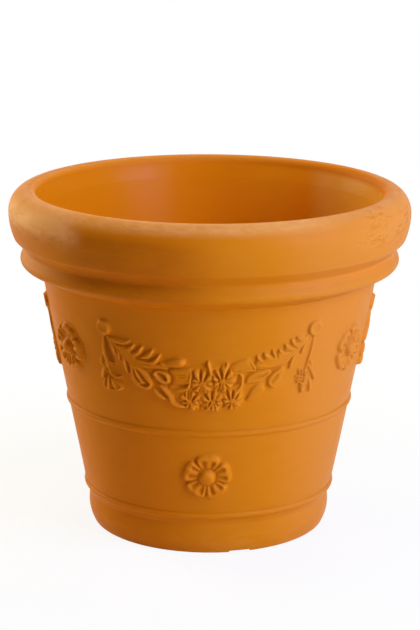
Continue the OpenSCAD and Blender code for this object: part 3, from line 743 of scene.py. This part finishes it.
# Painted shade on the front left of the collar and rim, under the rim's overhang
PAINTED_FRONT_SHADE = (0.430, 0.100, 0.002), 0.68, [("x", -185, -135), ("x", 20, -60), ("y", -100, -160),
                                      ("z", TOP_Z - 118, TOP_Z - 83), ("z", TOP_Z - 10, TOP_Z - 25)]
# Pale wear along the rim's crest, with a painted highlight that is strongest at the front
CREST = RIM_WEAR_AND_HIGHLIGHT, 0.85, [("z", TOP_Z - 15, TOP_Z - 3), ("radius", RIM_R - 36, RIM_R - 29),
                           ("y", 20, -120, 0.35, 1.0), ("x", 80, 200, 1.0, 0.10)]
FLANK = [("z", TOP_Z - 52, TOP_Z - 32), ("radius", RIM_R - 28, RIM_R - 20)]
LEFT_FLANK = [("x", -142, -172), *FLANK]
RIGHT_FLANK = [("x", 150, 205), *FLANK]
CHALK = (0.825, 0.385, 0.150), 0.85, [*LEFT_FLANK, ("z", TOP_Z - 38, TOP_Z - 24, 0.25, 1.0),
                                      ("z", TOP_Z, TOP_Z - 12, 0.40, 1.0)]
SMUDGE = SOOT_AND_SHADE, 0.22, [*LEFT_FLANK, ("z", TOP_Z - 20, TOP_Z - 32)]
# Painted highlight on the rim's lit right flank
RIGHT_FLANK_HIGHLIGHT = RIM_WEAR_AND_HIGHLIGHT, 0.16, RIGHT_FLANK
SCUFF = (0.560, 0.150, 0.002), 0.80, RIGHT_FLANK
# Painted light on the right of the inner face
PAINTED_LIGHT_INSIDE = (0.800, 0.268, 0.004), 1.0, [("x", 20, 110)]
# Painted sheen on the far right of the inner face
PAINTED_SHEEN_INSIDE = (0.800, 0.420, 0.095), 0.60, [("x", 124, 154)]

# Over how many millimetres the outer clay turns into the inner, and where that ends under the mouth
FACE_TURN, MOUTH_FADE = 2, (TOP_Z - 4, TOP_Z - 16)
# How shallow and deep hollows darken with painted shade, and how crests are paled by a painted highlight
SHALLOW_SHADE, DEEP_SHADE, CREST_HIGHLIGHT = (0.02, 0.8, 0.0, 0.22), (1.0, 2.0, 0.0, 0.36), (0.05, 0.9, 0.0, 0.60)


def new_material(name):
    """A material with its node tree and its shader."""
    material = bpy.data.materials.new(name)
    material.use_nodes = True
    return material, material.node_tree, material.node_tree.nodes["Principled BSDF"]


def node(tree, kind, inputs=None, **values):
    """A new node, laid out in rows, with its inputs linked to other nodes' outputs or set to values."""
    n = tree.nodes.new(kind)
    row, column = divmod(len(tree.nodes), 10)
    n.location = (200 * column, -300 * row)
    for key, value in values.items():
        setattr(n, key, value)
    for key, value in (inputs or {}).items():
        if isinstance(value, bpy.types.NodeSocket):
            tree.links.new(value, n.inputs[key])
        else:
            n.inputs[key].default_value = value
    return n


def noise(tree, vector, scale, detail, rough, distortion=0.0):
    inputs = {"Vector": vector, "Scale": scale, "Detail": detail, "Roughness": rough,
              "Distortion": distortion}
    return node(tree, "ShaderNodeTexNoise", inputs).outputs["Fac"]


def ramp(tree, value, low, high, out_low=0.0, out_high=1.0):
    """Takes a value smoothly from out_low, where it is low, to out_high, where it is high."""
    inputs = {"Value": value, "From Min": low, "From Max": high, "To Min": out_low, "To Max": out_high}
    return node(tree, "ShaderNodeMapRange", inputs, interpolation_type="SMOOTHSTEP").outputs["Result"]


def fade(tree, distance, start, end, *shares):
    """A ramp between two distances in millimetres."""
    return ramp(tree, distance, start * MM, end * MM, *shares)


def texture(tree, vector, pattern, levels):
    """One of the textures above, as a factor."""
    return ramp(tree, noise(tree, vector, *pattern), *levels)


def combined(tree, operation, a, b):
    return node(tree, "ShaderNodeMath", {0: a, 1: b}, operation=operation).outputs[0]


def product(tree, *factors):
    """All factors multiplied together."""
    out = factors[0]
    for factor in factors[1:]:
        out = combined(tree, "MULTIPLY", out, factor)
    return out


def mixed(tree, factor, a, b):
    """Colour a, taken towards colour b by the factor."""
    a, b = ((*colour, 1.0) if isinstance(colour, tuple) else colour for colour in (a, b))
    return node(tree, "ShaderNodeMix", {"Factor": factor, 6: a, 7: b}, data_type="RGBA").outputs[2]


def stained(tree, axes, colour, stain, *factors):
    """The colour under one of the stains above, weakened by further factors."""
    tint, most, limits = stain
    fades = [fade(tree, axes[axis], *between) for axis, *between in limits]
    return mixed(tree, product(tree, *fades, *factors, most), colour, tint)


def drawn_out(tree, place, stretch):
    """Places whose height counts more, so that a texture there is drawn out along the wall."""
    scale = (1.0, 1.0, stretch)
    return node(tree, "ShaderNodeMapping", {"Vector": place, "Scale": scale}).outputs["Vector"]


def radius_of(tree, place):
    """Distance from the pot's axis."""
    flat = node(tree, "ShaderNodeVectorMath", {0: place, 1: (1, 1, 0)}, operation="MULTIPLY")
    return node(tree, "ShaderNodeVectorMath", {0: flat.outputs[0]}, operation="LENGTH").outputs["Value"]


def axes_of(tree, place):
    """A place's x, y, z and radius, by name."""
    separate = node(tree, "ShaderNodeSeparateXYZ", {0: place})
    return {**dict(zip("xyz", separate.outputs)), "radius": radius_of(tree, place)}


def clay(name, rim=False, sprig=False, inside=False, front_shade=False, dusty=0.28):
    """Satin terracotta. rim adds the rim's wear and scuffs with painted highlights, sprig the painted shade
    in hollows and painted highlights on crests, inside the smooth inner face with painted light and a
    painted sheen, and front_shade a painted shade on the front left; dusty is how much the pale patches
    show."""
    material, tree, shader = new_material(name)
    place = node(tree, "ShaderNodeNewGeometry").outputs["Position"]
    flat = drawn_out(tree, place, STRETCH)
    axes = axes_of(tree, place)
    colour = mixed(tree, product(tree, texture(tree, place, *CLOUDS), CLOUDED), CLAY, CLAY_DEEP)
    colour = mixed(tree, product(tree, texture(tree, flat, *PATCHES), dusty), colour, CLAY_PALE)
    colour = mixed(tree, product(tree, texture(tree, place, *SPECKS), SPECKLED), colour, CLAY_DEEP)
    rough = texture(tree, place, *SHEEN)
    # Painted shade deepens and reddens the shaded left of the front's middle, and painted light pales its
    # lit right
    colour = stained(tree, axes, colour, PAINTED_SHADE_LEFT)
    colour = stained(tree, axes, colour, PAINTED_LIGHT_RIGHT)
    if inside:
        colour, rough = smoothed(tree, axes, colour, rough)
    if front_shade:
        # A broad painted shade on the front left, under and on the rim, drawn out in streaks
        colour = stained(tree, axes, colour, PAINTED_FRONT_SHADE, texture(tree, flat, *STREAKS))
    if rim:
        colour = worn_and_highlit(tree, axes, place, flat, colour)
    if sprig:
        colour = shaded_and_highlit(tree, colour)
    tree.links.new(colour, shader.inputs["Base Color"])
    tree.links.new(rough, shader.inputs["Roughness"])
    tree.links.new(bumps(tree, place, flat), shader.inputs["Normal"])
    shader.inputs["Specular IOR Level"].default_value = SPECULAR
    return material


def smoothed(tree, axes, colour, rough):
    """Colour and roughness with a smoother inner face, with painted light on its right and a painted sheen
    on the far right.
    """
    # The radius over the wall's slope tells the inner face from the outer one
    level = combined(tree, "ADD", axes["radius"], product(tree, axes["z"], -WALL_SLOPE))
    middle = WALL_LOW_R - WALL_SLOPE * LOW_Z - WALL_T / 2
    within = fade(tree, level, middle + FACE_TURN, middle - FACE_TURN)
    colour = mixed(tree, within, colour, CLAY_INSIDE)
    within = product(tree, within, fade(tree, axes["z"], *MOUTH_FADE))
    # Painted light and a painted sheen on the inner face's right
    colour = stained(tree, axes, colour, PAINTED_LIGHT_INSIDE, within)
    colour = stained(tree, axes, colour, PAINTED_SHEEN_INSIDE, within)
    return colour, combined(tree, "SUBTRACT", rough, product(tree, within, INSIDE_GLOSS))


def worn_and_highlit(tree, axes, place, flat, colour):
    """The rim, rubbed pale along its crest under a painted highlight, smeared on its left, given a painted
    highlight on its right flank, and scuffed on its right.
    """
    dashes = drawn_out(tree, place, SCUFF_STRETCH)
    colour = stained(tree, axes, colour, CREST, texture(tree, flat, *RUBBING))
    colour = stained(tree, axes, colour, CHALK, texture(tree, flat, *SMEARS))
    colour = stained(tree, axes, colour, SMUDGE, texture(tree, flat, *MOTTLE))
    colour = stained(tree, axes, colour, RIGHT_FLANK_HIGHLIGHT)
    return stained(tree, axes, colour, SCUFF, texture(tree, dashes, *DASHES), texture(tree, flat, *ISLANDS))


def shaded_and_highlit(tree, colour):
    """A sprig with painted shade in its hollows and a painted highlight on its crests."""
    hollow, proud = (node(tree, "ShaderNodeAttribute", attribute_name=label).outputs["Fac"]
                     for label in ("painted_shade", "crest"))
    # Painted shade in the hollows
    hollow_shade = combined(tree, "ADD", ramp(tree, hollow, *SHALLOW_SHADE), ramp(tree, hollow, *DEEP_SHADE))
    colour = mixed(tree, hollow_shade, colour, SOOT_AND_SHADE)
    # Painted highlight on the crests
    return mixed(tree, ramp(tree, proud, *CREST_HIGHLIGHT), colour, CLAY_CREST_HIGHLIGHT)


def bumps(tree, place, flat):
    """A normal roughened by fine pits and the drag of a wet hand."""
    drag = product(tree, noise(tree, flat, *DRAG), DRAG_HEIGHT)
    height = combined(tree, "ADD", noise(tree, place, *PITS), drag)
    inputs = {"Height": height, "Strength": BUMP_STRENGTH, "Distance": BUMP_DISTANCE}
    return node(tree, "ShaderNodeBump", inputs).outputs["Normal"]


# The body, turned on the wheel: each outline lists (r, z) points or (r, z, rounding) corners

def bead(z, out):
    """The convex outline of a string course round a height."""
    return [(wall_r(z + BEAD_HALF * k) + out * (1 - k * k), z + BEAD_HALF * k)
            for k in np.linspace(-1, 1, BEAD_STEPS + 1)]


def scored(bead_z):
    """Corners of the shallow groove that is scored into the wall over a bead."""
    z = bead_z + BEAD_HALF + SCORE_HALF / 2
    return [(wall_r(z + k * SCORE_HALF) - SCORE_DEPTH * (1 - k * k), z + k * SCORE_HALF, 0)
            for k in (-1, 0, 1)]


def build_foot(material):
    side = [(foot_side_r(z), z, 0) for z in np.linspace(RECESS_H, FOOT_H, FOOT_STEPS + 1)]
    floor = [(DRAIN_R, RECESS_H, DRAIN_LOW_EDGE), *side, (DRAIN_R, FOOT_H, DRAIN_TOP_EDGE)]
    ring = [(FOOT_RING_IN, RECESS_H, 0), (FOOT_RING_IN, 0, RING_EDGE), (FOOT_R, 0, FOOT_EDGE), side[0]]
    lathe("floor", rounded(floor), material, "floor_slab")
    lathe("foot", rounded(ring), material, "foot_ring", notched=True)


def build_walls(material):
    below = [(inner(FOOT_H), FOOT_H, 0), (CREASE_R, FOOT_H, 0), (NECK_R, NECK_Z, NECK_ROUND),
             (WALL_LOW_R, LOW_Z, 0), *scored(LOW_Z + LOW_BEAD_UP), (wall_r(MID_Z), MID_Z, 0),
             (inner(MID_Z), MID_Z, 0)]
    above = [(inner(MID_Z), MID_Z, 0), (wall_r(MID_Z), MID_Z, 0), *scored(MID_Z + MID_BEAD_UP),
             (wall_r(WALL_TOP_Z), WALL_TOP_Z, 0), (inner(WALL_TOP_Z), WALL_TOP_Z, 0)]
    lathe("wall_below", rounded(below), material, "lower_wall")
    lathe("wall_above", rounded(above), material, "upper_wall")


def build_courses(material):
    low = [*bead(LOW_Z + LOW_BEAD_UP, LOW_BEAD), (WALL_LOW_R - LOW_BEAD, LOW_Z)]
    middle = [*bead(MID_Z + MID_BEAD_UP, MID_BEAD), (wall_r(MID_Z), MID_Z)]
    lathe("course_low", low, material, "lower_string_course")
    lathe("course_mid", middle, material, "middle_string_course")


def build_collar_and_rim(band_material, rim_material):
    """The collar up to the groove, and the rolled rim from the groove over the mouth to the wall."""
    nose_r = WALL_HIGH_R + NOSE_OUT
    groove_r = nose_r - GROOVE_IN
    profile = rounded([(WALL_HIGH_R, COLLAR_Z, 0), (nose_r, NOSE_Z, NOSE_ROUND),
                       (groove_r, GROOVE_Z, GROOVE_ROUND), (LIP_R, LIP_Z, 0)], steps=COLLAR_STEPS)
    # The two meet in the middle of the groove's arc, which comes after a corner and the nose's arc
    seam = 1 + (COLLAR_STEPS + 1) + COLLAR_STEPS // 2
    seam_back = (wall_r(profile[seam][1]), profile[seam][1])
    lathe("collar", [*profile[:seam + 1], seam_back], band_material, "collar_moulding")

    # The flank is an arc through the lip that is upright at the widest height
    flank_h, flank_w = WIDEST_Z - LIP_Z, RIM_R - LIP_R
    flank_radius = (flank_h ** 2 + flank_w ** 2) / (2 * flank_w)

    def flank_at(z):
        return RIM_R - flank_radius + math.sqrt(flank_radius ** 2 - (z - WIDEST_Z) ** 2), z

    above = flank_at(LIP_Z + 2 * LIP_ROUND)
    lip = rounded([(groove_r, GROOVE_Z, 0), (LIP_R, LIP_Z, LIP_ROUND), (*above, 0)], steps=LIP_STEPS)[1:-1]
    start = lip[-1][1]
    flank = [flank_at(start + (WIDEST_Z - start) * k / FLANK_STEPS) for k in range(1, FLANK_STEPS + 1)]
    shoulder_r, mouth_r, mouth_z = RIM_R - SHOULDER_IN, RIM_R - RIM_W + INNER_ROUND, TOP_Z - INNER_ROUND
    shoulder = [(shoulder_r + SHOULDER_IN * math.cos(a), WIDEST_Z + SHOULDER_UP * math.sin(a))
                for a in np.radians(np.arange(SHOULDER_STEP, 91, SHOULDER_STEP))]
    mouth = [(mouth_r + INNER_ROUND * math.cos(a), mouth_z + INNER_ROUND * math.sin(a))
             for a in np.radians(np.arange(90, 181, MOUTH_STEP))]
    wall_top = [(inner(WALL_TOP_Z), WALL_TOP_Z), (wall_r(WALL_TOP_Z), WALL_TOP_Z)]
    lathe("rim", [seam_back, *profile[seam:-1], *lip, *flank, *shoulder, *mouth, *wall_top],
          rim_material, "rim_roll")


# The three garlands and where they stand round the pot, in degrees from the front to the right
SIDES = {"front": 0, "right": 120, "left": -120}
UPPER_ROSETTES = {"front_left_upper_rosette": -60, "front_right_upper_rosette": 60,
                  "back_upper_rosette": 180}
BRANCHES = {"left_branch": left_branch, "right_branch": right_branch, "left_drop": left_drop,
            "right_drop": right_drop, "flower_cluster": flower_cluster}


def around(kind):
    """A sprig's three nodes with their turns."""
    return {side + "_" + kind: turn for side, turn in SIDES.items()}


def hang(kind, drawing, ref_z, base_z, material, turns=None, at=(0, 0), web=None):
    """Builds one kind of sprig and sets it on the wall under each of its nodes' names, at a place along the
    wall and up, and turned round the pot by so many degrees."""
    h, X, Y = drawing
    mesh = relief_mesh("sprig_" + kind, h, X + at[0], Y + at[1], ref_z, base_z, web)
    mesh.materials.append(material)
    for node_name, turn in (turns or around(kind)).items():
        piece = bpy.data.objects.new("sprig_" + node_name, mesh)
        piece.rotation_euler = (0, 0, math.radians(turn))
        finish_piece(piece, node_name)


def hang_reliefs(material):
    for kind, make in BRANCHES.items():
        web = LEFT_WEB if kind in ("left_drop", "left_branch") else None
        hang(kind, make(), GARLAND_REF_Z, GARLAND_Z, material, web=web)
    for kind, x in (("left_knob", -KNOB_X), ("right_knob", KNOB_X)):
        hang(kind, knob(), GARLAND_REF_Z, GARLAND_Z, material, at=(x, 0))
    hang("upper_rosette", rosette(0), UPPER_ROSETTE_Z, UPPER_ROSETTE_Z, material, UPPER_ROSETTES)
    hang("lower_rosette", rosette(LOWER_TURN), LOWER_ROSETTE_Z, LOWER_ROSETTE_Z, material, at=LOWER_SET)


# Stage, light and camera

FLOOR_PALE, FLOOR_WARM, FLOOR_ROUGH, FLOOR_SIZE = (0.92, 0.87, 0.66), (0.90, 0.85, 0.64), 0.9, 40
# How much of the floor's own white the camera sees; the rest shows the light and the shadow
FLOOR_WHITE = 0.88
# Between these distances from the pot, in millimetres, the floor fades into the white of the studio
FADE = (250, 750)

# Each light is its name, azimuth, elevation, power and tint, seen from the pot
LIGHT_DISTANCE, LIGHT_SIZE = 3.0, 1.6
COOL, PALE, MILD, PLAIN = (1.0, 1.24, 3.2), (1.0, 1.26, 2.6), (1.0, 1.06, 0.65), (1.0, 1.02, 0.80)
WARM, RED, TOP = (1.0, 0.98, 0.40), (1.0, 0.78, 0.25), (1.0, 0.80, 0.40)
LIGHTS = [
    ("key", 55, 32, 40, COOL),
    ("right_low", 78, 12, 10, WARM),
    ("front_low", 45, 11, 27, PALE),
    ("left_back", -122, 30, 30, RED),
    ("left_low", -124, 10, 46, MILD),
    ("top", -25, 72, 26, TOP),
    ("back", 160, 45, 27, PLAIN),
]

# The camera of the photo: lens and sensor in millimetres, place in metres, angles in radians
LENS, SENSOR, SHIFT = 121.9, 36, 0.0011
CAMERA_PLACE, LOOK_DOWN, ROLL = (0, -2.602, 0.933), 0.2519, 0.0052


def seen(tree):
    """1 for rays that show the background itself: from the camera, a gloss or a clear piece."""
    path = node(tree, "ShaderNodeLightPath").outputs
    either = combined(tree, "MAXIMUM", path["Is Camera Ray"], path["Is Glossy Ray"])
    return combined(tree, "MAXIMUM", either, path["Is Transmission Ray"])


def pale_floor():
    """A pale floor that keeps the pot's shadow and shows as white further off."""
    material, tree, shader = new_material("pale_floor")
    place = node(tree, "ShaderNodeNewGeometry").outputs["Position"]
    colour = mixed(tree, texture(tree, place, *PAVING), FLOOR_PALE, FLOOR_WARM)
    tree.links.new(colour, shader.inputs["Base Color"])
    shader.inputs["Roughness"].default_value = FLOOR_ROUGH
    white = node(tree, "ShaderNodeEmission", {"Strength": 1.0})
    away = fade(tree, radius_of(tree, place), *FADE, FLOOR_WHITE, 1.0)
    shown = product(tree, seen(tree), away)
    mix = node(tree, "ShaderNodeMixShader", {0: shown, 1: shader.outputs[0], 2: white.outputs[0]})
    tree.links.new(mix.outputs[0], tree.nodes["Material Output"].inputs["Surface"])
    bpy.ops.mesh.primitive_plane_add(size=FLOOR_SIZE)
    floor = bpy.context.object
    floor.name = "floor_plane"
    floor.data.materials.append(material)


def area_light(name, azimuth, elevation, power, colour):
    """A square soft light on the pot's middle; azimuth runs from the front to the right."""
    light = bpy.data.lights.new(name, "AREA")
    light.shape = "SQUARE"
    light.size = LIGHT_SIZE
    light.energy = power
    light.color = colour
    lamp = bpy.data.objects.new(name, light)
    bpy.context.scene.collection.objects.link(lamp)
    a, e = math.radians(azimuth), math.radians(elevation)
    toward = Vector((math.sin(a) * math.cos(e), -math.cos(a) * math.cos(e), math.sin(e)))
    offset = toward * LIGHT_DISTANCE
    lamp.location = offset + Vector((0, 0, TOP_Z * MM / 2))
    lamp.rotation_euler = (-offset).to_track_quat("-Z", "Y").to_euler()


def sky():
    """A studio that gives no light of its own and shows as white."""
    world = bpy.data.worlds.new("studio")
    bpy.context.scene.world = world
    world.use_nodes = True
    tree = world.node_tree
    background = tree.nodes["Background"]
    background.inputs["Color"].default_value = (1, 1, 1, 1)
    tree.links.new(seen(tree), background.inputs["Strength"])


def camera():
    data = bpy.data.cameras.new("camera")
    data.sensor_fit = "AUTO"
    data.sensor_width = SENSOR
    data.lens = LENS
    data.shift_x = SHIFT
    cam = bpy.data.objects.new("camera", data)
    bpy.context.scene.collection.objects.link(cam)
    cam.location = CAMERA_PLACE
    cam.rotation_mode = "XYZ"
    tilt = Euler((math.pi / 2 - LOOK_DOWN, 0, 0)).to_quaternion()
    roll = Euler((0, 0, ROLL)).to_quaternion()
    cam.rotation_euler = (tilt @ roll).to_euler()
    bpy.context.scene.camera = cam


camera()
pale_floor()
sky()
for light_row in LIGHTS:
    area_light(*light_row)
relief_clay = clay("clay_relief", sprig=True)
wall_clay = clay("clay_wall", inside=True)
rim_clay = clay("clay_rim", rim=True, inside=True, front_shade=True)
band_clay = clay("clay_band", front_shade=True)
foot_clay = clay("clay_foot", dusty=1.0)
build_foot(foot_clay)
build_walls(wall_clay)
build_courses(band_clay)
build_collar_and_rim(band_clay, rim_clay)
hang_reliefs(relief_clay)
bpy.context.scene.view_settings.view_transform = "Standard"
